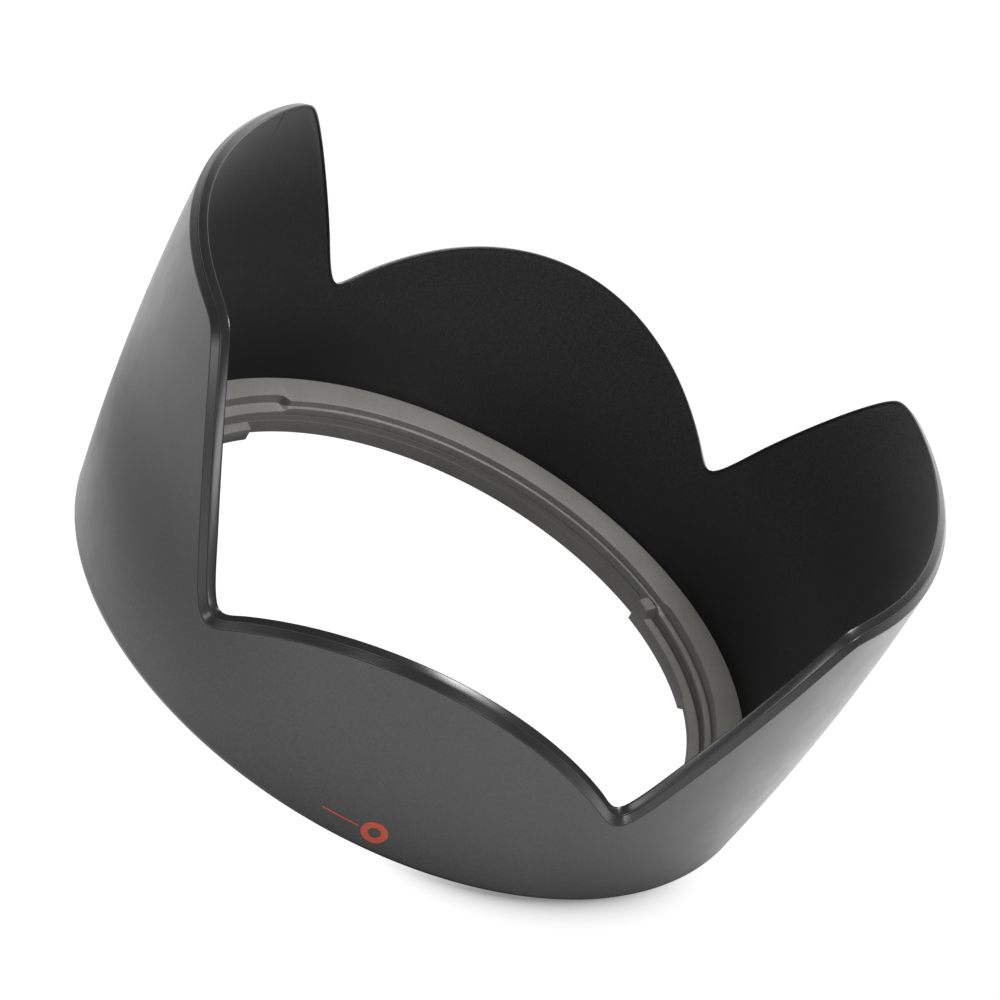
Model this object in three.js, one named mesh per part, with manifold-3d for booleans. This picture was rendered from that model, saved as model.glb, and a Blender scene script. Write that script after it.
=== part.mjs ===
// Petal lens hood: a bell-shaped shell with two long and two short petals, a flocked lining,
// a bayonet ring at the rear and a printed index mark.
// Millimetres. +Z is the optical axis towards the subject, Z = 0 is the bayonet ring's rear face.
// The long petals stand on the X axis and the short petals on the Y axis.

import * as THREE from 'three';
import { mergeVertices } from 'three/addons/utils/BufferGeometryUtils.js';
import Module from 'manifold-3d';

// ---------- driving dimensions ----------

const SHELL_REAR_Z = 1.0; // the ring stands this far out of the shell
const SHOULDER_Z = 47.2; // outer shoulder of the long petals' rims
const CROWN_ABOVE_SHOULDER = 5.5; // where the bell's arcs would run parallel to the axis
const OUTER_CROWN_RADIUS = 51.05;
const OUTER_ARC = 297; // radius of the bell's outer profile arc

const WALL = 1.79; // shell and lining together
const WALL_AT_SHELF = 3.1;
const HAUNCH_Z = 20; // below this the wall thickens towards the ring

const BASE_FLAT_RADIUS = 44.75; // outer edge of the shell's flat rear face
const BASE_ROUND_HEIGHT = 1.85; // height of the rounded rear edge

// The clear window is a rectangle that widens towards the subject. It is this half width at the
// shell's rear face, and gains this much half width per millimetre forward.
const WINDOW = {
  x: { half: 21.6, spread: 0.4634 },
  y: { half: 29.47, spread: 0.7296 },
};
const NOTCH_FILLET = 12; // height difference over which a long petal runs into a short one
const LIP_FILLET = 13.5; // the same along the top of the lip
const CORNER_SOFTNESS = 2.2; // rounding at the corners of the long petals' tips

const BEVEL_WIDTH = 0.7; // the rim rises from the outer shoulder by a bevel
const BEVEL_RISE = 0.8;
const LIP_RISE = 1.44; // from the bevel the lip slopes up to its inner edge
const LINING_TOP_RISE = 1.1; // the lining runs up inside the lip to this far above the shoulder
const LINING_THICKNESS = 0.3;
const LINING_CLEARANCE = 0.1; // between the lining and the shell
const RING_CLEARANCE = 0.15; // round the ring, and between the shelf and the lining

const RING_OUTER_RADIUS = 44.4;
const SPIGOT_RADIUS = 42.6; // the part of the ring that stands out of the shell
const RING_CHAMFER = 0.3;
const SHELF_Z = 4.7;
const SHELF_INNER_RADIUS = 39.8;
const LEDGE_Z = 3.8;
const LEDGE_INNER_RADIUS = 39.35;
const OPENING_RADIUS = 39.1;

const LUG_INNER_RADIUS = 37.85;
const LUG_HEIGHT = 1.9;
const ARM_INNER_RADIUS = 37.7; // thin arm that runs on from the first lug
const ARM_BOTTOM_Z = 1.2;
const STOP_HEIGHT = 3.3;
const STOP_WIDTH_DEG = 3.5;
const POCKET_FLOOR_Z = 3.3;
// Angles in degrees about +Z. The lugs differ so that the hood seats only one way round.
const LUGS = [
  { from: 21, to: 47, stopAt: 47, pocket: { from: -9, to: 43, radius: 40.3 } },
  { from: 138.5, to: 167, stopAt: 167, pocket: { from: 130, to: 168, radius: 41 } },
  { from: 258, to: 287, stopAt: 287, pocket: { from: 250, to: 284, radius: 40.6 } },
];
const ARM = { from: -8, to: 21.5 };

const LINING_SEAM_DEG = 154; // where the ends of the lining meet
const LINING_SEAM_GAP = 0.3;

const MARK_Z = 4.95;
const MARK_THICKNESS = 0.12;
const MARK_STANDOFF = 0.03;
const INDEX_RING_DEG = -87.8;
const INDEX_RING_OUTER = 1.7;
const INDEX_RING_INNER = 0.85;
const INDEX_LINE_DEG = { from: -96.4, to: -90.3 };
const INDEX_LINE_WIDTH = 0.32;

const COLUMNS_PER_QUADRANT = 29;
const SKIN_ROWS = 5; // rows of facets between the base and the rim
const BASE_ROUND_STEPS = 3;
const RING_SEGMENTS = 120;
const LUG_STEP_DEG = 3;
const INDEX_LINE_STEPS = 4;
const RIM_STEP = 0.002; // radians over which the rim's slope is taken
const HALVINGS = 40; // of the span of heights in which a cut is looked for
const OVERRUN = 1; // how far cuts and joined blocks run past the faces they meet

const SATIN_BLACK = 0x2f2f31;
const FLOCK_BLACK = 0x0c0c0d;
const WARM_GREY = 0x3e3e3a;
const INDEX_RED = 0xb4462d;

// ---------- profiles ----------

const CROWN_Z = SHOULDER_Z + CROWN_ABOVE_SHOULDER;
const BASE_ROUND_TOP_Z = SHELL_REAR_Z + BASE_ROUND_HEIGHT;
const BORE_RADIUS = RING_OUTER_RADIUS + RING_CLEARANCE;
const LINING_REAR_Z = SHELF_Z + RING_CLEARANCE;
const HAUNCH_HEIGHT = HAUNCH_Z - SHELF_Z;

const arcDrop = (arc, z) => arc - Math.sqrt(arc * arc - (CROWN_Z - z) ** 2);
const outerRadius = (z) => OUTER_CROWN_RADIUS - arcDrop(OUTER_ARC, z);
const haunch = (z) => (WALL_AT_SHELF - WALL) * (Math.max(0, HAUNCH_Z - z) / HAUNCH_HEIGHT) ** 2;
const innerRadius = (z) => outerRadius(z) - WALL - haunch(z);
const liningBackRadius = (z) => innerRadius(z) + LINING_THICKNESS;
const recessRadius = (z) => liningBackRadius(z) + LINING_CLEARANCE;

const filletOver = (a, b, reach) => Math.max(0, reach - Math.abs(a - b)) ** 3 / (6 * reach ** 2);
const filletMax = (a, b, reach) => Math.max(a, b) + filletOver(a, b, reach);
const softMin = (a, b, softness) => (a + b - Math.hypot(a - b, softness)) / 2;
const mix = (a, b, t) => a + (b - a) * t;

// Height at which the bell leaves one pair of the window's planes, at a given share of its radius.
function windowCut(side, share) {
  let low = SHELL_REAR_Z - SHOULDER_Z;
  let high = SHELL_REAR_Z + 2 * SHOULDER_Z;
  for (let step = 0; step < HALVINGS; step += 1) {
    const z = (low + high) / 2;
    const window = side.half + side.spread * (z - SHELL_REAR_Z);
    if (outerRadius(z) * share > window) low = z;
    else high = z;
  }
  return low;
}

// Height of the rim's outer shoulder at an angle in radians.
function shoulderHeight(angle, fillet = NOTCH_FILLET) {
  const cutX = windowCut(WINDOW.x, Math.abs(Math.cos(angle)));
  const cutY = windowCut(WINDOW.y, Math.abs(Math.sin(angle)));
  return filletMax(softMin(SHOULDER_Z, cutX, CORNER_SOFTNESS), cutY, fillet);
}

// Height of a line that keeps an offset from the shoulder, measured at right angles to the rim.
function rimHeight(angle, offset, fillet = NOTCH_FILLET) {
  const z = shoulderHeight(angle, fillet);
  const before = shoulderHeight(angle - RIM_STEP, fillet);
  const after = shoulderHeight(angle + RIM_STEP, fillet);
  const slope = (after - before) / (2 * RIM_STEP * outerRadius(z));
  return Math.min(z + offset * Math.hypot(1, slope), SHOULDER_Z + offset);
}

// Angles of one quadrant, evenly spaced along the rim rather than round the axis.
function quadrantAngles() {
  const fine = 2000;
  const length = [0];
  for (let i = 1; i <= fine; i += 1) {
    const a = ((i - 1) / fine) * (Math.PI / 2);
    const b = (i / fine) * (Math.PI / 2);
    const across = outerRadius(shoulderHeight(b)) * (b - a);
    length.push(length[i - 1] + Math.hypot(across, shoulderHeight(b) - shoulderHeight(a)));
  }
  const angles = [];
  for (let column = 0; column < COLUMNS_PER_QUADRANT; column += 1) {
    const wanted = (column / COLUMNS_PER_QUADRANT) * length[fine];
    const i = length.findIndex((value) => value >= wanted);
    angles.push((i / fine) * (Math.PI / 2));
  }
  return angles;
}

function ringOfAngles() {
  const quadrant = quadrantAngles();
  const mirrored = [Math.PI / 2, ...quadrant.slice(1).reverse().map((angle) => Math.PI - angle)];
  const half = [...quadrant, ...mirrored];
  return [...half, ...half.map((angle) => angle + Math.PI)];
}

// ---------- geometry helpers ----------

function polar(radius, angle, z) {
  return new THREE.Vector3(radius * Math.cos(angle), radius * Math.sin(angle), z);
}

// A closed solid from columns of points: each column is one closed section of the solid.
function solidFromSections(sections, closedRound) {
  const rows = sections[0].length;
  const positions = sections.flat().flatMap((point) => point.toArray());
  const faces = [];
  const last = closedRound ? sections.length : sections.length - 1;
  for (let i = 0; i < last; i += 1) {
    const next = (i + 1) % sections.length;
    for (let k = 0; k < rows; k += 1) {
      const up = (k + 1) % rows;
      const [a, b] = [i * rows + k, next * rows + k];
      const [c, d] = [next * rows + up, i * rows + up];
      faces.push(a, b, c, a, c, d);
    }
  }
  if (!closedRound) {
    // each end is closed by a strip of quads between its outward and its inward row
    const lastColumn = (sections.length - 1) * rows;
    for (let k = 0; k < rows / 2 - 1; k += 1) {
      const [a, b, c, d] = [k, k + 1, rows - 2 - k, rows - 1 - k];
      faces.push(a, b, c, a, c, d);
      faces.push(lastColumn + a, lastColumn + c, lastColumn + b);
      faces.push(lastColumn + a, lastColumn + d, lastColumn + c);
    }
  }
  const geometry = new THREE.BufferGeometry();
  geometry.setAttribute('position', new THREE.Float32BufferAttribute(positions, 3));
  geometry.setIndex(faces);
  return geometry;
}

// ---------- petal shell ----------

function shellSection(angle) {
  const shoulderZ = shoulderHeight(angle);
  const bevelTopZ = rimHeight(angle, BEVEL_RISE, LIP_FILLET);
  const lipTopZ = rimHeight(angle, LIP_RISE, LIP_FILLET);
  const lipFootZ = rimHeight(angle, LINING_TOP_RISE, LIP_FILLET);
  const section = [polar(BASE_FLAT_RADIUS, angle, SHELL_REAR_Z)];
  for (let step = 1; step <= BASE_ROUND_STEPS; step += 1) {
    const turn = ((step / BASE_ROUND_STEPS) * Math.PI) / 2;
    const radius = mix(BASE_FLAT_RADIUS, outerRadius(BASE_ROUND_TOP_Z), Math.sin(turn));
    section.push(polar(radius, angle, mix(BASE_ROUND_TOP_Z, SHELL_REAR_Z, Math.cos(turn))));
  }
  for (let row = 1; row <= SKIN_ROWS; row += 1) {
    const z = mix(BASE_ROUND_TOP_Z, shoulderZ, row / SKIN_ROWS);
    section.push(polar(outerRadius(z), angle, z));
  }
  section.push(polar(outerRadius(bevelTopZ) - BEVEL_WIDTH, angle, bevelTopZ));
  section.push(polar(innerRadius(lipTopZ), angle, lipTopZ));
  section.push(polar(innerRadius(lipFootZ), angle, lipFootZ));
  for (let row = 0; row <= SKIN_ROWS; row += 1) {
    const z = mix(lipFootZ, SHELF_Z, row / SKIN_ROWS);
    section.push(polar(recessRadius(z), angle, z));
  }
  section.push(polar(BORE_RADIUS, angle, SHELF_Z));
  section.push(polar(BORE_RADIUS, angle, SHELL_REAR_Z));
  return section;
}

function petalShell() {
  return solidFromSections(ringOfAngles().map(shellSection), true);
}

// ---------- flock lining ----------

function liningSection(angle) {
  const edgeZ = rimHeight(angle, LINING_TOP_RISE - LINING_CLEARANCE, LIP_FILLET);
  const outward = [];
  const inward = [];
  for (let row = 0; row <= SKIN_ROWS; row += 1) {
    const z = mix(LINING_REAR_Z, edgeZ, row / SKIN_ROWS);
    outward.push(polar(liningBackRadius(z), angle, z));
    inward.unshift(polar(innerRadius(z), angle, z));
  }
  return [...outward, ...inward];
}

function flockLining() {
  const seam = THREE.MathUtils.degToRad(LINING_SEAM_DEG);
  const halfGap = LINING_SEAM_GAP / 2 / OUTER_CROWN_RADIUS;
  const clear = 3 * halfGap;
  const turns = ringOfAngles().map((angle) => (angle > seam ? angle : angle + 2 * Math.PI));
  const inside = turns.filter((angle) => angle > seam + clear && angle < seam + 2 * Math.PI - clear);
  inside.sort((a, b) => a - b);
  const angles = [seam + halfGap, ...inside, seam + 2 * Math.PI - halfGap];
  return solidFromSections(angles.map(liningSection), false);
}

// ---------- bayonet ring ----------

const wasm = await Module();
wasm.setup();

function toSolid(geometry) {
  const bare = geometry.clone();
  bare.deleteAttribute('normal');
  bare.deleteAttribute('uv');
  const merged = mergeVertices(bare, 1e-5);
  const mesh = new wasm.Mesh({
    numProp: 3,
    vertProperties: new Float32Array(merged.attributes.position.array),
    triVerts: new Uint32Array(merged.index.array),
  });
  return new wasm.Manifold(mesh);
}

function toGeometry(solid) {
  const mesh = solid.getMesh();
  const geometry = new THREE.BufferGeometry();
  geometry.setAttribute('position', new THREE.BufferAttribute(mesh.vertProperties, 3));
  geometry.setIndex(new THREE.BufferAttribute(mesh.triVerts, 1));
  return geometry;
}

// A block that follows the ring: part of a turn between two radii and two heights.
function sector(innerR, outerR, lowZ, highZ, fromDeg, toDeg) {
  const steps = Math.max(1, Math.round((toDeg - fromDeg) / LUG_STEP_DEG));
  const sections = [];
  for (let step = 0; step <= steps; step += 1) {
    const angle = THREE.MathUtils.degToRad(mix(fromDeg, toDeg, step / steps));
    sections.push([
      polar(outerR, angle, lowZ),
      polar(outerR, angle, highZ),
      polar(innerR, angle, highZ),
      polar(innerR, angle, lowZ),
    ]);
  }
  return toSolid(solidFromSections(sections, false));
}

function bayonetRing() {
  const profile = [
    [OPENING_RADIUS, 0],
    [SPIGOT_RADIUS - RING_CHAMFER, 0],
    [SPIGOT_RADIUS, RING_CHAMFER],
    [SPIGOT_RADIUS, SHELL_REAR_Z],
    [RING_OUTER_RADIUS, SHELL_REAR_Z],
    [RING_OUTER_RADIUS, SHELF_Z],
    [SHELF_INNER_RADIUS, SHELF_Z],
    [SHELF_INNER_RADIUS, LEDGE_Z],
    [LEDGE_INNER_RADIUS, LEDGE_Z],
    [OPENING_RADIUS, 0],
  ].map(([radius, height]) => new THREE.Vector2(radius, height));
  const turned = new THREE.LatheGeometry(profile, RING_SEGMENTS);
  turned.rotateX(Math.PI / 2);

  const root = OPENING_RADIUS + OVERRUN;
  const above = SHELF_Z + OVERRUN;
  const inside = LUG_INNER_RADIUS + OVERRUN;
  let ring = toSolid(turned);
  for (const { from, to, stopAt, pocket } of LUGS) {
    ring = ring.subtract(
      sector(inside, pocket.radius, POCKET_FLOOR_Z, above, pocket.from, pocket.to),
    );
    ring = ring.add(sector(LUG_INNER_RADIUS, root, 0, LUG_HEIGHT, from, to));
    const stopFrom = stopAt - STOP_WIDTH_DEG;
    ring = ring.add(sector(LUG_INNER_RADIUS, root, LUG_HEIGHT / 2, STOP_HEIGHT, stopFrom, stopAt));
  }
  ring = ring.add(sector(ARM_INNER_RADIUS, root, ARM_BOTTOM_Z, LUG_HEIGHT, ARM.from, ARM.to));
  return toGeometry(ring);
}

// ---------- index mark ----------

// A flat shape bent onto the shell: the shape's x runs round the shell and its y runs forward.
function bendOntoShell(shape, middleDeg) {
  const geometry = new THREE.ExtrudeGeometry(shape, {
    depth: MARK_THICKNESS,
    bevelEnabled: false,
    curveSegments: 16,
  });
  const middle = THREE.MathUtils.degToRad(middleDeg);
  const position = geometry.attributes.position;
  for (let i = 0; i < position.count; i += 1) {
    const z = MARK_Z + position.getY(i);
    const radius = outerRadius(z) + MARK_STANDOFF + position.getZ(i);
    const point = polar(radius, middle + position.getX(i) / outerRadius(MARK_Z), z);
    position.setXYZ(i, point.x, point.y, point.z);
  }
  return geometry;
}

function indexRing() {
  const shape = new THREE.Shape();
  shape.absarc(0, 0, INDEX_RING_OUTER, 0, 2 * Math.PI);
  const hole = new THREE.Path();
  hole.absarc(0, 0, INDEX_RING_INNER, 0, 2 * Math.PI, true);
  shape.holes.push(hole);
  return bendOntoShell(shape, INDEX_RING_DEG);
}

function indexLine() {
  const { from, to } = INDEX_LINE_DEG;
  const halfLength = (THREE.MathUtils.degToRad(to - from) * outerRadius(MARK_Z)) / 2;
  const half = INDEX_LINE_WIDTH / 2;
  const edge = (y) => {
    const points = [];
    for (let i = 0; i <= INDEX_LINE_STEPS; i += 1) {
      points.push(new THREE.Vector2(mix(-halfLength, halfLength, i / INDEX_LINE_STEPS), y));
    }
    return points;
  };
  const shape = new THREE.Shape([...edge(-half), ...edge(half).reverse()]);
  return bendOntoShell(shape, (from + to) / 2);
}

// ---------- assembly ----------

function mesh(name, geometry, color, roughness) {
  const material = new THREE.MeshStandardMaterial({ color, roughness, metalness: 0 });
  const part = new THREE.Mesh(geometry, material);
  part.name = name;
  return part;
}

const hood = new THREE.Group();
hood.name = 'petal_lens_hood';
hood.add(
  mesh('petal_shell', petalShell(), SATIN_BLACK, 0.45),
  mesh('flock_lining', flockLining(), FLOCK_BLACK, 1.0),
  mesh('bayonet_ring', bayonetRing(), WARM_GREY, 0.6),
  mesh('index_ring', indexRing(), INDEX_RED, 0.5),
  mesh('index_line', indexLine(), INDEX_RED, 0.5),
);

export default hood;
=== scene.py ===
"""Petal lens hood: fine meshes, materials, light and camera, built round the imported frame.

Lengths are in millimetres until a mesh is made, and angles are in degrees unless a name says otherwise.
+Z is the optical axis. The long petals stand on X and the short petals on Y.
"""

import math

import bmesh
import bpy
import numpy as np
from mathutils import Matrix, Vector


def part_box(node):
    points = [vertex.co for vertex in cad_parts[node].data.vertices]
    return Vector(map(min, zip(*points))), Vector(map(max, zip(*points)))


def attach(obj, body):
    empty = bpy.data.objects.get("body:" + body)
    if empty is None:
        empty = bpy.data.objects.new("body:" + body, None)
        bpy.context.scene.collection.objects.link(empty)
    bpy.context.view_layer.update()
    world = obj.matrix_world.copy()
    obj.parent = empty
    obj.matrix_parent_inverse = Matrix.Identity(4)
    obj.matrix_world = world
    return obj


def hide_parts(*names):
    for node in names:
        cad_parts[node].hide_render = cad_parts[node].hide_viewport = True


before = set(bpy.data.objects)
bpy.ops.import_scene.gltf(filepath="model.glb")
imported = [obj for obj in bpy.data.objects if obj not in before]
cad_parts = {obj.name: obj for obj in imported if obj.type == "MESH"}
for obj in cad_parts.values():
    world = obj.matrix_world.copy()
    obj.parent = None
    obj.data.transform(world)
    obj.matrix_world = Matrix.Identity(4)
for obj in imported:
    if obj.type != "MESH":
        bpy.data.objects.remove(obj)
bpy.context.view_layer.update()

MM = 0.001


def node_box(node):
    """Lowest and highest corner of a CAD node, in millimetres."""
    return [np.array(corner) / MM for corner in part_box(node)]


# ---------- dimensions ----------

SHELL_LOW, SHELL_HIGH = node_box("petal_shell")
RING_HIGH = node_box("bayonet_ring")[1]

LIP_RISE = 1.44  # from the shoulder up to the lip's inner edge
REAR_Z = SHELL_LOW[2]
SHOULDER_Z = SHELL_HIGH[2] - LIP_RISE
CROWN_RISE = 5.5

# The bell's outline is an arc that would be widest a little above the shoulder of the long petals.
CROWN_Z = SHOULDER_Z + CROWN_RISE
OUTER_ARC = 297.0
OUTER_CROWN = SHELL_HIGH[0] + OUTER_ARC - math.sqrt(OUTER_ARC**2 - (CROWN_Z - SHOULDER_Z) ** 2)
WALL = 1.79
WALL_AT_SHELF = 3.1
HAUNCH_Z = 20.0  # below this the wall thickens towards the ring

# half width of the clear window at the shell's rear, and what it gains per millimetre forward
WINDOW_X = (21.6, 0.4634)
WINDOW_Y = (29.47, 0.7296)
WINDOW_SEARCH = (REAR_Z - 30, CROWN_Z + 20)
HALVINGS = 40
NOTCH_FILLET = 12.0  # at the shoulder
LIP_FILLET = 13.5  # at the lip's inner edge
CORNER_SOFTNESS = 2.2
SLOPE_STEP = 0.002  # radians, to measure how steeply the rim climbs
RIM_SAMPLES = 24001

BASE_FLAT_RADIUS = 44.75
BASE_ROUND_HEIGHT = 1.85
BORE_RADIUS = RING_HIGH[0] + 0.15

LINING_TOP_RISE = 1.1
LINING_THICKNESS = 0.3
LINING_CLEARANCE = 0.1
LINING_GAP = 0.05

SHELF_Z = RING_HIGH[2]


# ---------- profiles ----------

def outer_radius(z):
    return OUTER_CROWN - OUTER_ARC + np.sqrt(OUTER_ARC**2 - (CROWN_Z - z) ** 2)


def inner_radius(z):
    """Radius of the lined surface."""
    below = np.maximum(0, HAUNCH_Z - z) / (HAUNCH_Z - SHELF_Z)
    return outer_radius(z) - WALL - (WALL_AT_SHELF - WALL) * below**2


def fillet_max(a, b, reach):
    """The larger of two heights, rounded where they are within reach of each other."""
    return np.maximum(a, b) + np.maximum(0, reach - np.abs(a - b)) ** 3 / (6 * reach**2)


def soft_min(a, b, softness):
    return (a + b - np.hypot(a - b, softness)) / 2


def mix(a, b, share):
    return a + (b - a) * share


def window_cut(window, share):
    """Height at which the bell leaves one pair of the clear window's planes, at a share of its radius."""
    half, spread = window
    lowest, highest = WINDOW_SEARCH
    low = np.full_like(share, lowest)
    high = np.full_like(share, highest)
    for _ in range(HALVINGS):
        z = (low + high) / 2
        outside = outer_radius(z) * share > half + spread * (z - REAR_Z)
        low = np.where(outside, z, low)
        high = np.where(outside, high, z)
    return low


def shoulder_height(angle, fillet=NOTCH_FILLET):
    """Height of the rim's outer shoulder at angles in radians."""
    cut_x = window_cut(WINDOW_X, np.abs(np.cos(angle)))
    cut_y = window_cut(WINDOW_Y, np.abs(np.sin(angle)))
    return fillet_max(soft_min(SHOULDER_Z, cut_x, CORNER_SOFTNESS), cut_y, fillet)


def rim_line(angle):
    """A function that gives the height of a line at a right-angled offset from the rim's shoulder."""
    lines = {}
    for fillet in (NOTCH_FILLET, LIP_FILLET):
        z = shoulder_height(angle, fillet)
        rise = shoulder_height(angle + SLOPE_STEP, fillet) - shoulder_height(angle - SLOPE_STEP, fillet)
        lines[fillet] = z, np.hypot(1, rise / (2 * SLOPE_STEP * outer_radius(z)))

    def height(offset):
        share = min(1.0, max(0.0, offset / LIP_RISE))
        z, stretch = (mix(a, b, share) for a, b in zip(lines[NOTCH_FILLET], lines[LIP_FILLET]))
        return np.minimum(z + offset * stretch, SHOULDER_Z + offset)

    return height


def rim_angles(count):
    """Angles in radians all the way round, evenly spaced along the rim."""
    fine = np.linspace(0, 2 * math.pi, RIM_SAMPLES)
    z = shoulder_height(fine)
    along = np.hypot(np.diff(fine) * outer_radius(z[:-1]), np.diff(z))
    length = np.concatenate([[0], np.cumsum(along)])
    wanted = np.arange(count) / count * length[-1]
    return np.interp(wanted, length, fine)


# ---------- meshes ----------

def polar(radius, angle, z):
    radius, angle, z = np.broadcast_arrays(radius, angle, z)
    return np.stack([radius * np.cos(angle), radius * np.sin(angle), z], axis=-1)


def mark_sharp_edges(mesh, limit):
    """Splits the shading at edges that turn by more than a limit."""
    work = bmesh.new()
    work.from_mesh(mesh)
    for edge in work.edges:
        if len(edge.link_faces) == 2:
            edge.smooth = edge.calc_face_angle(0) < math.radians(limit)
    work.to_mesh(mesh)
    work.free()


def add_piece(node, points, faces, material, attributes=None, sharp=32):
    """Makes the shaded piece that stands for a CAD node. Points are in millimetres."""
    name = f"{node}_fine"
    mesh = bpy.data.meshes.new(name)
    mesh.from_pydata((points * MM).tolist(), [], faces)
    mesh.shade_smooth()
    mark_sharp_edges(mesh, sharp)
    for key, values in (attributes or {}).items():
        layer = mesh.attributes.new(key, "FLOAT", "POINT")
        layer.data.foreach_set("value", np.asarray(values, np.float32))
    mesh.materials.append(material)
    piece = bpy.data.objects.new(name, mesh)
    bpy.context.scene.collection.objects.link(piece)
    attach(piece, "root")
    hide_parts(node)


def loft_faces(columns, rows, round_columns=True):
    """Quads that join columns of points, each column a closed section, with ends if not all round."""
    faces = []
    for i in range(columns if round_columns else columns - 1):
        j = (i + 1) % columns
        for k in range(rows):
            up = (k + 1) % rows
            faces.append((i * rows + k, j * rows + k, j * rows + up, i * rows + up))
    if not round_columns:
        last = (columns - 1) * rows
        for k in range(rows // 2 - 1):
            a, b, c, d = k, k + 1, rows - 2 - k, rows - 1 - k
            faces.append((a, b, c, d))
            faces.append((last + d, last + c, last + b, last + a))
    return faces


def stack_rows(rows):
    """Rows of points, each (columns, 3), as one list of points ordered column by column."""
    return np.stack(rows, axis=1).reshape(-1, 3)


# ---------- petal shell ----------

SHELL_COLUMNS = 640
BASE_ROUND_STEPS = 9
SKIN_ROWS = 44
SKIN_TOP = -0.20  # offset from the shoulder
RECESS_ROWS = 10

# a hairline moulded below the rim, and the bevel's edge: offset from the shoulder, inset from the skin
BEVEL_INSET = 0.02
HAIRLINE_MIDDLE = -0.1
HAIRLINE = ((-0.15, 0.0), (-0.13, 0.08), (-0.07, 0.08), (-0.05, 0.01), (0.0, BEVEL_INSET))
BEVEL_WIDTH = 0.66
BEVEL_RISE = 0.76
BEVEL_SHARES = (0.04, 0.08, 0.3, 0.5, 0.7, 0.9, 1.0)

# the narrow groove between the bevel and the lip: offset, inset
LIP_INSET = BEVEL_WIDTH + 0.06
GROOVE = ((BEVEL_RISE - 0.07, BEVEL_WIDTH + 0.02), (BEVEL_RISE - 0.06, LIP_INSET))

# share of the way across the lip, and how far its rounded edges fall below its slope
LIP_FOOT_RISE = 0.87
LIP_SECTION = (
    (0.0, 0.08),
    (0.02, 0.04),
    (0.06, 0.01),
    (0.12, 0.0),
    (0.3, -0.015),
    (0.5, -0.02),
    (0.7, -0.015),
    (0.86, 0.0),
    (0.93, 0.02),
    (0.97, 0.05),
    (1.0, 0.12),
)


def quarter(steps):
    """(sine, cosine) pairs of a quarter turn, ends included."""
    turns = np.linspace(0, math.pi / 2, steps + 1)
    return list(zip(np.sin(turns), np.cos(turns)))


def shell_rows(angle):
    """Rows of the shell's section from its rear face up the outside, over the rim and down the inside.

    The mask that comes with each row is 1 on the rim, where the plastic is smoother.
    """
    line = rim_line(angle)
    rows, masks = [], []

    def add(radius, z, mask=0.0):
        rows.append(polar(radius, angle, z))
        masks.append(mask)

    def add_inset(offset, inset, mask=1.0):
        z = line(offset)
        add(outer_radius(z) - inset, z, mask)

    round_top = REAR_Z + BASE_ROUND_HEIGHT
    add(BORE_RADIUS, REAR_Z)
    for sine, cosine in quarter(BASE_ROUND_STEPS):
        radius = mix(BASE_FLAT_RADIUS, outer_radius(round_top), sine)
        add(radius, mix(round_top, REAR_Z, cosine))
    skin_top = line(SKIN_TOP)
    for row in range(1, SKIN_ROWS + 1):
        z = mix(round_top, skin_top, row / SKIN_ROWS)
        add(outer_radius(z), z)

    for offset, inset in HAIRLINE:
        add_inset(offset, inset, 1.0 if offset > HAIRLINE_MIDDLE else 0.0)
    for share in BEVEL_SHARES:
        add_inset(BEVEL_RISE * share, mix(BEVEL_INSET, BEVEL_WIDTH, share))
    for offset, inset in GROOVE:
        add_inset(offset, inset)
    # the lip slopes up to its inner edge
    for share, drop in LIP_SECTION:
        z = line(mix(LIP_FOOT_RISE, LIP_RISE, share) - drop)
        add(mix(outer_radius(z) - LIP_INSET, inner_radius(z), share), z, 1.0)
    lining_top = line(LINING_TOP_RISE)
    add(inner_radius(lining_top), lining_top, 1.0)

    # the recess behind the lining
    for row in range(RECESS_ROWS + 1):
        z = mix(lining_top, SHELF_Z, row / RECESS_ROWS)
        add(inner_radius(z) + LINING_THICKNESS + LINING_CLEARANCE, z)
    add(BORE_RADIUS, SHELF_Z)
    return rows, masks


def make_shell(material):
    angle = rim_angles(SHELL_COLUMNS)
    rows, masks = shell_rows(angle)
    faces = loft_faces(len(angle), len(rows))
    rim = np.tile(masks, len(angle))
    add_piece("petal_shell", stack_rows(rows), faces, material, {"rim": rim})


# ---------- flock lining ----------

LINING_COLUMNS = 560
LINING_ROWS = 40
LINING_ROUND = 0.08  # how far the sheet's upper and lower edges fall away
SEAM_ANGLE = 154.0
SEAM_MARGIN = 0.004  # radians each side of the seam that are free of other columns
# half width of the seam: next to nothing, then wider close to the rim
SEAM_CLOSED = 0.001
SEAM_OPEN = 0.085
SEAM_POWER = 14


def make_lining(material):
    """One wrapped sheet. Its ends part close to the rim, which shows as a short dark seam."""
    seam = math.radians(SEAM_ANGLE)
    turned = np.sort((rim_angles(LINING_COLUMNS) - seam) % (2 * math.pi))
    turned = turned[(turned > SEAM_MARGIN) & (turned < 2 * math.pi - SEAM_MARGIN)]
    angle = seam + np.concatenate([[0.0], turned, [2 * math.pi]])
    edge_z = rim_line(angle)(LINING_TOP_RISE - LINING_GAP)
    ends = np.zeros_like(angle)
    ends[0], ends[-1] = 1.0, -1.0

    outward, inward = [], []
    for row in range(LINING_ROWS + 1):
        share = row / LINING_ROWS
        z = mix(SHELF_Z + LINING_GAP, edge_z, share)
        open_by = (SEAM_CLOSED + SEAM_OPEN * share**SEAM_POWER) / OUTER_CROWN
        a = angle + ends * open_by
        rounding = LINING_ROUND if row in (0, LINING_ROWS) else 0.0
        outward.append(polar(inner_radius(z) + LINING_THICKNESS, a, z))
        inward.insert(0, polar(inner_radius(z) + rounding, a, z))
    rows = outward + inward
    faces = loft_faces(len(angle), len(rows), round_columns=False)
    add_piece("flock_lining", stack_rows(rows), faces, material, sharp=60)


# ---------- bayonet ring ----------

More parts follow.
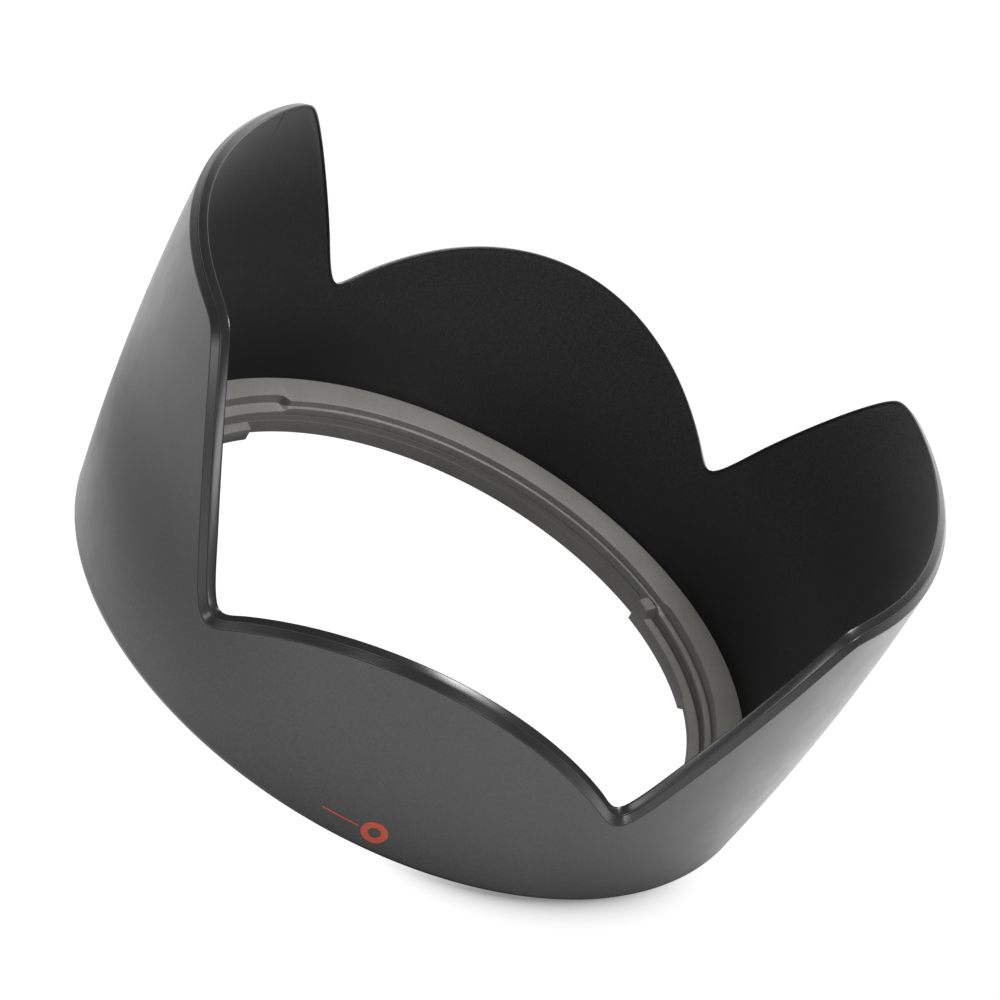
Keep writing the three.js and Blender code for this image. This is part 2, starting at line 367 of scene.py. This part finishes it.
SPIGOT = 42.6
SHELF_INNER = 39.8
LEDGE_Z = 3.8
LEDGE_INNER = 39.35
OPENING = 39.1
PARTING_Z = 2.75
LUG_INNER = 37.85
LUG_HEIGHT = 1.9
STOP_TOP = 3.3
POCKET_FLOOR = 3.3
ARM_INNER = 37.7
ARM_BOTTOM = 1.2
EDGE = 0.16  # reach of a rounded edge
EDGE_MIDDLE = 0.05  # how far the middle of that edge is cut back

# The lugs differ, so that the hood seats only one way round.
LUGS = [
    {"lug": (21, 47), "stop": (43.5, 47), "pocket": (-9, 43), "pocket_radius": 40.3},
    {"lug": (138.5, 167), "stop": (163.5, 167), "pocket": (130, 168), "pocket_radius": 41.0},
    {"lug": (258, 287), "stop": (283.5, 287), "pocket": (250, 284), "pocket_radius": 40.6},
]
ARM = (-8, 24)  # it ends inside the first lug
TURN = 0.8  # degrees over which a lug, stop or arm rises from the ring's wall
POCKET_TURN = 1.9

# steps round the ring, and closer ones at the ends of each feature
RING_STEP = 0.75
CLOSE_REACH = 0.45
CLOSE_STEPS = 11
LEAST_STEP = 0.04


def plateau(degrees, ends, turn=TURN):
    """1 between two angles and 0 elsewhere, with smooth ends."""
    middle = sum(ends) / 2
    half = (ends[1] - ends[0]) / 2
    away = np.abs((degrees - middle + 180) % 360 - 180)
    share = np.clip((half - away) / turn + 0.5, 0, 1)
    return share * share * (3 - 2 * share)


def ring_angles():
    """Even steps, with close steps at each end of each lug, stop, pocket and arm."""
    events = [edge for lug in LUGS for key in ("lug", "stop", "pocket") for edge in lug[key]]
    events += list(ARM)
    steps = np.linspace(-CLOSE_REACH, CLOSE_REACH, CLOSE_STEPS)
    close = [edge + step for edge in events for step in steps]
    every = np.concatenate([np.arange(0, 360, RING_STEP), np.array(close) % 360])
    every = np.unique(np.round(every, 3))
    keep = np.concatenate([[True], np.diff(every) > LEAST_STEP])
    return every[keep]


def ring_rows(degrees):
    """Rows of the ring's section from its rear face up the outside, over the shelf and down the inside."""
    angle = np.radians(degrees)
    lug = sum(plateau(degrees, item["lug"]) for item in LUGS)
    stop = sum(plateau(degrees, item["stop"]) for item in LUGS)
    arm = plateau(degrees, ARM)
    bare_arm = arm * (1 - lug)
    pockets = [plateau(degrees, item["pocket"], POCKET_TURN) for item in LUGS]
    pocket = sum(pockets)
    pocket_radius = sum(share * item["pocket_radius"] for share, item in zip(pockets, LUGS))

    shelf_inner = mix(SHELF_INNER, pocket_radius / np.maximum(pocket, 1e-6), pocket)
    ledge_z = mix(LEDGE_Z, POCKET_FLOOR, pocket)
    wall = mix(OPENING, LEDGE_INNER, 0.55)  # the bare wall at the height of a lug's top
    inner = mix(mix(OPENING, ARM_INNER, arm), LUG_INNER, lug)
    underside = mix(0.0, ARM_BOTTOM, bare_arm)
    top = mix(LUG_HEIGHT, STOP_TOP - 0.1, stop)
    proud = np.maximum(lug, arm)
    edge_inner = inner + mix(0.01, EDGE, proud)

    outer = RING_HIGH[0]
    rows = []

    def add(radius, z):
        rows.append(polar(radius, angle, z))

    def add_edge(radius, z, reach, middle):
        """A rounded edge, passed inwards and then down."""
        add(radius + reach, z)
        add(radius + middle, z - middle)
        add(radius, z - reach)

    def add_cove(radius, z, reach, middle):
        """A rounded inside corner, passed down and then inwards."""
        add(radius, z + reach)
        add(radius - middle, z + middle)
        add(radius - reach, z)

    add(OPENING + 0.25, 0.0)
    add(SPIGOT - 0.35, 0.0)
    add(SPIGOT - 0.1, 0.08)
    add(SPIGOT, 0.3)
    add(SPIGOT, REAR_Z)
    add(outer, REAR_Z)
    add(outer, SHELF_Z - 0.1)
    add(outer - 0.1, SHELF_Z)
    add_edge(shelf_inner, SHELF_Z, EDGE, EDGE_MIDDLE)
    add_cove(shelf_inner, ledge_z, 0.12, 0.04)
    add_edge(LEDGE_INNER, ledge_z, 0.10, 0.03)

    # the wall, with the fine line where the mould's halves met
    line_z = mix(PARTING_Z, ledge_z - 0.12, stop)
    add(LEDGE_INNER - 0.04, line_z + 0.06)
    add(LEDGE_INNER + 0.02, line_z)
    add(LEDGE_INNER - 0.06, line_z - 0.06)

    # these rows stay on the bare wall, or are drawn inwards to a stop, a lug or the arm
    add(mix(wall, edge_inner, stop), top + 0.06)
    add(mix(wall - 0.02, edge_inner, stop), top)
    add(mix(wall - 0.03, edge_inner, proud), top - 0.01)
    add(mix(wall - 0.04, inner + EDGE_MIDDLE, proud), top - EDGE_MIDDLE)
    add(mix(wall - 0.06, inner, proud), top - EDGE)
    add(mix(OPENING + 0.02, inner, proud), underside + EDGE)
    add(mix(OPENING + 0.01, inner + EDGE_MIDDLE, proud), underside + 0.06)
    add(mix(OPENING, inner + 0.14, proud), underside + 0.012)
    add(OPENING + 0.012, underside + 0.01)
    add(OPENING + 0.012, mix(0.008, 0.25, bare_arm))
    return rows


def make_ring(material):
    degrees = ring_angles()
    rows = ring_rows(degrees)
    faces = loft_faces(len(degrees), len(rows))
    add_piece("bayonet_ring", stack_rows(rows), faces, material, sharp=40)


# ---------- index mark ----------

MARK_Z = 4.95
MARK_THICKNESS = 0.05
MARK_ROUND = 0.03
MARK_STAND_OFF = 0.005
RING_MARK_ANGLE = -87.8
RING_MARK_RADII = (0.8, 1.7)
RING_MARK_STEPS = 96
LINE_MARK_ANGLES = (-96.4, -90.3)
LINE_MARK_HALF = 0.12
LINE_MARK_STEPS = 60


def bend_onto_shell(across, up, height, middle):
    """Flat points bent onto the shell: across runs round it, up runs forward, height stands off it."""
    z = MARK_Z + up
    angle = math.radians(middle) + across / outer_radius(np.float64(MARK_Z))
    return polar(outer_radius(z) + (height + MARK_STAND_OFF), angle, z)


def add_mark(node, rows, material, round_columns):
    faces = loft_faces(len(rows[0]), len(rows), round_columns)
    flipped = [face[::-1] for face in faces]
    add_piece(node, stack_rows(rows), flipped, material)


def make_ring_mark(material):
    turns = np.linspace(0, 2 * math.pi, RING_MARK_STEPS + 1)[:-1]
    inner, outer = RING_MARK_RADII
    middle = mix(inner, outer, 0.5)
    section = [
        (inner, 0.0),
        (inner, MARK_THICKNESS - MARK_ROUND),
        (inner + MARK_ROUND, MARK_THICKNESS),
        (middle, MARK_THICKNESS),
        (outer - MARK_ROUND, MARK_THICKNESS),
        (outer, MARK_THICKNESS - MARK_ROUND),
        (outer, 0.0),
        (middle, 0.0),
    ]
    rows = [bend_onto_shell(r * np.cos(turns), r * np.sin(turns), h, RING_MARK_ANGLE) for r, h in section]
    add_mark("index_ring", rows, material, round_columns=True)


def make_line_mark(material):
    start, end = LINE_MARK_ANGLES
    length = math.radians(end - start) * float(outer_radius(np.float64(MARK_Z)))
    along = np.linspace(-length / 2, length / 2, LINE_MARK_STEPS)
    taper = np.minimum(1, np.sqrt(np.maximum(0, 1 - (2 * np.abs(along) / length) ** 30)) + 0.15)
    half = LINE_MARK_HALF * taper
    # share of the half width, and height
    section = [
        (-1.0, 0.0),
        (-1.0, MARK_THICKNESS - MARK_ROUND),
        (-0.8, MARK_THICKNESS),
        (0.8, MARK_THICKNESS),
        (1.0, MARK_THICKNESS - MARK_ROUND),
        (1.0, 0.0),
    ]
    rows = [bend_onto_shell(along, half * side, h, (start + end) / 2) for side, h in section]
    add_mark("index_line", rows, material, round_columns=False)


# ---------- materials ----------

class Nodes:
    """A short way to write a node tree."""

    def __init__(self, name):
        self.material = bpy.data.materials.new(name)
        self.material.use_nodes = True
        self.tree = self.material.node_tree
        self.shader = self.tree.nodes["Principled BSDF"]

    def add(self, kind, **settings):
        node = self.tree.nodes.new(kind)
        for key, value in settings.items():
            if key in node.inputs:
                self.put(node.inputs[key], value)
            else:
                setattr(node, key, value)
        return node

    def put(self, socket, value):
        if isinstance(value, bpy.types.NodeSocket):
            self.tree.links.new(value, socket)
        else:
            socket.default_value = value

    def set(self, **values):
        for key, value in values.items():
            self.put(self.shader.inputs[key.replace("_", " ")], value)

    def noise(self, per_mm, detail=2.0, roughness=0.5):
        """Noise with a number of features per millimetre."""
        place = self.add("ShaderNodeTexCoord").outputs["Object"]
        mapping = self.add("ShaderNodeMapping", Vector=place)
        mapping.inputs["Scale"].default_value = [per_mm / MM] * 3
        noise = self.add("ShaderNodeTexNoise", Vector=mapping.outputs["Vector"], Scale=1.0)
        noise.inputs["Detail"].default_value = detail
        noise.inputs["Roughness"].default_value = roughness
        return noise.outputs["Fac"]

    def spread(self, value, low, high, start=0.0, end=1.0, smooth=False):
        """value, taken from low..high to start..end."""
        node = self.add("ShaderNodeMapRange", Value=value)
        node.interpolation_type = "SMOOTHSTEP" if smooth else "LINEAR"
        node.inputs["From Min"].default_value = low
        node.inputs["From Max"].default_value = high
        node.inputs["To Min"].default_value = start
        node.inputs["To Max"].default_value = end
        return node.outputs["Result"]

    def math(self, operation, a, b):
        node = self.add("ShaderNodeMath", operation=operation)
        self.put(node.inputs[0], a)
        self.put(node.inputs[1], b)
        return node.outputs["Value"]

    def product(self, first, *others):
        for other in others:
            first = self.math("MULTIPLY", first, other)
        return first

    def vector_math(self, operation, *vectors):
        node = self.add("ShaderNodeVectorMath", operation=operation)
        for socket, vector in zip(node.inputs, vectors):
            self.put(socket, vector)
        return node.outputs

    def blend(self, share, a, b):
        node = self.add("ShaderNodeMix", data_type="RGBA")
        self.put(node.inputs["Factor"], share)
        for socket, value in ((node.inputs[6], a), (node.inputs[7], b)):  # its two colour sockets
            self.put(socket, value)
        return node.outputs[2]

    def attribute(self, name):
        return self.add("ShaderNodeAttribute", attribute_name=name).outputs["Fac"]

    def bump(self, height, strength, distance_mm):
        node = self.add("ShaderNodeBump", Height=height)
        self.put(node.inputs["Strength"], strength)
        node.inputs["Distance"].default_value = distance_mm * MM
        return node.outputs["Normal"]


def shell_plastic():
    """Satin black moulded plastic: fine spark-eroded grain outside, smooth and glossier on the rim."""
    n = Nodes("shell_plastic")
    rim = n.attribute("rim")
    outside = n.math("SUBTRACT", 1.0, rim)
    grain = n.noise(3.2, detail=3.0, roughness=0.65)
    flow = n.noise(0.05, detail=2.0)
    grey = n.blend(n.spread(flow, 0.3, 0.7), (0.027, 0.027, 0.0285, 1), (0.033, 0.033, 0.034, 1))
    speckle = n.spread(grain, 0.35, 0.65)
    grey = n.blend(n.math("MULTIPLY", speckle, 0.5), grey, (0.055, 0.055, 0.056, 1))
    grey = n.blend(rim, grey, (0.019, 0.019, 0.019, 1))
    rough = n.spread(n.noise(0.25, detail=3.0), 0.3, 0.7, 0.31, 0.36)
    rough = n.math("SUBTRACT", rough, n.math("MULTIPLY", rim, 0.08))
    n.set(Base_Color=grey, Roughness=rough, IOR=1.5)
    n.set(Normal=n.bump(grain, n.math("MULTIPLY", outside, 0.6), 0.025))
    return n.material


def flock_fabric():
    """Matte black flock: dense short fibres with a faint sheen, and painted shade that makes it blacker
    low down beside the ring.
    """
    n = Nodes("flock")
    fibres = n.noise(3.5, detail=6.0, roughness=0.75)
    nap = n.noise(0.12, detail=3.0)
    black = n.blend(n.spread(fibres, 0.35, 0.7), (0.011, 0.011, 0.0112, 1), (0.038, 0.038, 0.0385, 1))
    black = n.blend(n.math("MULTIPLY", n.spread(nap, 0.35, 0.7), 0.3), black, (0.017, 0.017, 0.018, 1))
    # painted shade: the flock's colour is darkened low down, towards the ring, standing in for the shade
    # deep in the hood
    place = n.add("ShaderNodeSeparateXYZ", Vector=n.add("ShaderNodeTexCoord").outputs["Object"])
    height = n.spread(place.outputs["Z"], 6 * MM, 22 * MM, smooth=True)
    black = n.blend(height, (0.004, 0.004, 0.004, 1), black)
    n.set(Base_Color=black, Roughness=0.45, Specular_IOR_Level=0.32)
    n.set(Sheen_Weight=0.02, Sheen_Roughness=0.4, Sheen_Tint=(0.8, 0.8, 0.84, 1))
    n.set(Normal=n.bump(fibres, 0.45, 0.12))
    return n.material


def ring_plastic():
    """Warm dark grey plastic with a deeper, matter grain than the shell's."""
    n = Nodes("ring_plastic")
    grain = n.noise(3.0, detail=4.0, roughness=0.6)
    cloud = n.noise(0.2, detail=2.0)
    grey = n.blend(n.spread(cloud, 0.3, 0.7), (0.108, 0.106, 0.097, 1), (0.128, 0.126, 0.116, 1))
    grey = n.blend(n.math("MULTIPLY", n.spread(grain, 0.35, 0.65), 0.38), grey, (0.19, 0.187, 0.175, 1))
    n.set(Base_Color=grey, Roughness=n.spread(grain, 0.3, 0.7, 0.42, 0.56))
    n.set(Normal=n.bump(grain, 0.6, 0.05))
    return n.material


def index_paint():
    """Red-orange printed paint, a little uneven."""
    n = Nodes("index_paint")
    patch = n.noise(4.0, detail=3.0)
    red = n.blend(n.spread(patch, 0.35, 0.7), (0.34, 0.045, 0.02, 1), (0.44, 0.064, 0.03, 1))
    n.set(Base_Color=red, Roughness=n.spread(patch, 0.3, 0.7, 0.42, 0.55))
    n.set(Normal=n.bump(patch, 0.2, 0.01))
    return n.material


# ---------- floor ----------

FLOOR_HALF = 30.0  # metres
FLOOR_DROP = 0.0002  # metres below the hood
# between these distances from the hood's foot, the floor goes from under the hood to beside it
FOOT_EDGE = (-4.0, -2.0)

# the glow that lights the hood, with painted shade beside and under it in place of its cast shadow, and
# painted light to its right
FLOOR_GLOW = 1.35
LEAST_GLOW = 0.02
# painted shade under the hood, inside its foot
UNDER_SHADE = 1.1
RIGHT_GLOW = (120, 75, 0.35)  # azimuth, half width, gain
BAND_SHADE = (-75, 60, 20.0, 13.0, 0.9)  # azimuth, half width, distance, width, depth
# painted shade beside the hood, standing in for its shadow: azimuth, half width, reach and depth
NEAR_SHADE = (30, 80, 10.0, 1.5)
PAINTED_CAST_SHADE = (50, 42, 13.0, 1.45)

# what the camera sees instead: near white, with a painted contact shadow beside the hood's foot
SEEN_GLOW = 1.06
SEEN_SHADE = (38, 36, 2.0, 0.8)


def direction(azimuth, elevation):
    """The way from the hood to a place. Azimuth 0 is in front of it, at -Y, and 90 is at +X."""
    a, e = math.radians(azimuth), math.radians(elevation)
    return Vector((math.sin(a) * math.cos(e), -math.cos(a) * math.cos(e), math.sin(e)))


def toward(n, place, azimuth, half_width):
    """1 on the floor in one direction from the hood, smoothly down to 0 at half_width to its sides."""
    unit = n.vector_math("NORMALIZE", place)["Vector"]
    along = n.vector_math("DOT_PRODUCT", unit, direction(azimuth, 0))["Value"]
    return n.spread(along, math.cos(math.radians(half_width)), 1.0, smooth=True)


def shade_beside(n, place, away, outside, azimuth, half_width, reach, depth):
    """Painted shade on one side of the hood that fades as it leaves the hood's foot."""
    fade = n.math("POWER", math.e, n.math("DIVIDE", n.math("MAXIMUM", away, 0.0), -reach))
    return n.product(fade, outside, toward(n, place, azimuth, half_width), depth)


def band_beside(n, place, away, azimuth, half_width, distance, width, depth):
    """Painted shade on one side of the hood, deepest at a distance from its foot."""
    band = n.math("POWER", n.math("DIVIDE", n.math("SUBTRACT", away, distance), width), 2.0)
    band = n.math("POWER", math.e, n.math("MULTIPLY", band, -1.0))
    return n.product(band, toward(n, place, azimuth, half_width), depth)


def floor_glow(n, place, away, outside):
    """The glow that lights the hood: painted shade makes less of it beside and under the hood, and painted
    light makes more of it to its right.
    """
    shade = n.math(
        "MAXIMUM",
        shade_beside(n, place, away, outside, *NEAR_SHADE),
        shade_beside(n, place, away, outside, *PAINTED_CAST_SHADE),
    )
    shade = n.math("ADD", shade, band_beside(n, place, away, *BAND_SHADE))
    azimuth, half_width, gain = RIGHT_GLOW
    right = n.math("MULTIPLY", toward(n, place, azimuth, half_width), gain)
    glow = n.math("SUBTRACT", n.math("ADD", FLOOR_GLOW, right), shade)
    under = n.math("MULTIPLY", n.math("SUBTRACT", 1.0, outside), UNDER_SHADE)
    return n.math("MAXIMUM", n.math("SUBTRACT", glow, under), LEAST_GLOW)


def floor_light():
    """A floor that only glows: one glow lights the hood, and the camera sees another, close to white. Both
    glows hold painted shade beside the hood in place of a cast shadow.
    """
    n = Nodes("floor")
    place = n.add("ShaderNodeTexCoord").outputs["Object"]
    far = n.vector_math("LENGTH", place)["Value"]
    away = n.math("SUBTRACT", n.math("DIVIDE", far, MM), BASE_FLAT_RADIUS)
    outside = n.spread(away, *FOOT_EDGE)
    glow = floor_glow(n, place, away, outside)
    # painted contact shadow beside the hood's foot, in the glow the camera sees
    seen = n.math("SUBTRACT", SEEN_GLOW, shade_beside(n, place, away, outside, *SEEN_SHADE))
    camera = n.add("ShaderNodeLightPath").outputs["Is Camera Ray"]
    strength = n.math("ADD", glow, n.math("MULTIPLY", camera, n.math("SUBTRACT", seen, glow)))
    n.set(Base_Color=(0, 0, 0, 1), Roughness=1.0, Specular_IOR_Level=0.0)
    n.set(Emission_Color=(1, 1, 1, 1), Emission_Strength=strength)
    return n.material


def make_floor():
    mesh = bpy.data.meshes.new("floor")
    corners = ((-1, -1), (1, -1), (1, 1), (-1, 1))
    mesh.from_pydata([(x * FLOOR_HALF, y * FLOOR_HALF, 0) for x, y in corners], [], [(0, 1, 2, 3)])
    mesh.materials.append(floor_light())
    floor = bpy.data.objects.new("floor", mesh)
    floor.location.z = -FLOOR_DROP
    bpy.context.scene.collection.objects.link(floor)


# ---------- light and camera ----------

# name, azimuth, elevation, distance (m), size (m), watts
LIGHTS = [
    ("key", 100, 73, 0.9, 0.45, 3.8),
    ("top", 112, 80, 0.9, 0.3, 6.2),
    ("front_right", 24, 20, 0.9, 0.3, 2.1),
    ("front_left", -34, 20, 0.9, 0.3, 1.3),
]
LIGHT_AIM = (0, 0, 0.02)  # metres

ROOM_GLOW = 0.06
WALL_GLOW = 0.5
WALL_FADE = (0.05, 0.45)  # the walls' glow fades between these sines of the elevation
BACK_GLOW = (173, 12, 34, 2.0)  # azimuth, elevation, half width, strength
BACKDROP = 1.08

VIEW_AZIMUTH = -7.114
VIEW_ELEVATION = 32.333
VIEW_ROLL = 30.340
VIEW_DISTANCE = 0.9193  # metres
VIEW_AIM = (0.00052, -0.00007, 0.02504)  # metres
FOCAL_LENGTH = 268.4
SENSOR_WIDTH = 36.0


def area_light(name, azimuth, elevation, distance, size, watts):
    """A square softbox aimed at the hood."""
    light = bpy.data.lights.new(name, "AREA")
    light.shape = "SQUARE"
    light.size = size
    light.energy = watts
    lamp = bpy.data.objects.new(name, light)
    way = direction(azimuth, elevation)
    lamp.location = Vector(LIGHT_AIM) + way * distance
    lamp.rotation_mode = "QUATERNION"
    lamp.rotation_quaternion = way.to_track_quat("Z", "Y")
    bpy.context.scene.collection.objects.link(lamp)


def make_world():
    """White to the camera. The hood sees a dim room, lighter low down, with a bright patch behind it."""
    world = bpy.data.worlds.new("room")
    world.use_nodes = True
    bpy.context.scene.world = world
    tree = world.node_tree
    background = tree.nodes["Background"]

    def add(kind, *values, **settings):
        node = tree.nodes.new(kind)
        for key, value in settings.items():
            setattr(node, key, value)
        for socket, value in zip(node.inputs, values):
            if isinstance(value, bpy.types.NodeSocket):
                tree.links.new(value, socket)
            else:
                socket.default_value = value
        return node

    def spread(value, *ends):
        return add("ShaderNodeMapRange", value, *ends, interpolation_type="SMOOTHSTEP").outputs["Result"]

    def combine(operation, a, b):
        return add("ShaderNodeMath", a, b, operation=operation).outputs["Value"]

    way = add("ShaderNodeTexCoord").outputs["Generated"]
    height = add("ShaderNodeSeparateXYZ", way).outputs["Z"]
    level = combine("ADD", spread(height, *WALL_FADE, WALL_GLOW, 0.0), ROOM_GLOW)
    azimuth, elevation, half_width, strength = BACK_GLOW
    axis = direction(azimuth, elevation)
    dot = add("ShaderNodeVectorMath", way, axis, operation="DOT_PRODUCT").outputs["Value"]
    level = combine("ADD", spread(dot, math.cos(math.radians(half_width)), 1.0, 0.0, strength), level)
    camera = add("ShaderNodeLightPath").outputs["Is Camera Ray"]
    level = combine("MAXIMUM", level, combine("MULTIPLY", camera, BACKDROP))
    tree.links.new(level, background.inputs["Strength"])
    background.inputs["Color"].default_value = (1, 1, 1, 1)


def make_camera():
    back = direction(VIEW_AZIMUTH, VIEW_ELEVATION)
    data = bpy.data.cameras.new("camera")
    data.sensor_width = SENSOR_WIDTH
    data.lens = FOCAL_LENGTH
    data.clip_start, data.clip_end = 0.05, 100.0
    camera = bpy.data.objects.new("camera", data)
    roll = Matrix.Rotation(math.radians(VIEW_ROLL), 3, "Z")
    turn = (-back).to_track_quat("-Z", "Y").to_matrix() @ roll
    camera.matrix_world = Matrix.Translation(Vector(VIEW_AIM) + back * VIEW_DISTANCE) @ turn.to_4x4()
    bpy.context.scene.collection.objects.link(camera)
    bpy.context.scene.camera = camera


make_shell(shell_plastic())
make_lining(flock_fabric())
make_ring(ring_plastic())
paint = index_paint()
make_ring_mark(paint)
make_line_mark(paint)
make_floor()
make_world()
for name, *light in LIGHTS:
    area_light(name, *light)
make_camera()

bpy.context.scene.view_settings.view_transform = "Standard"
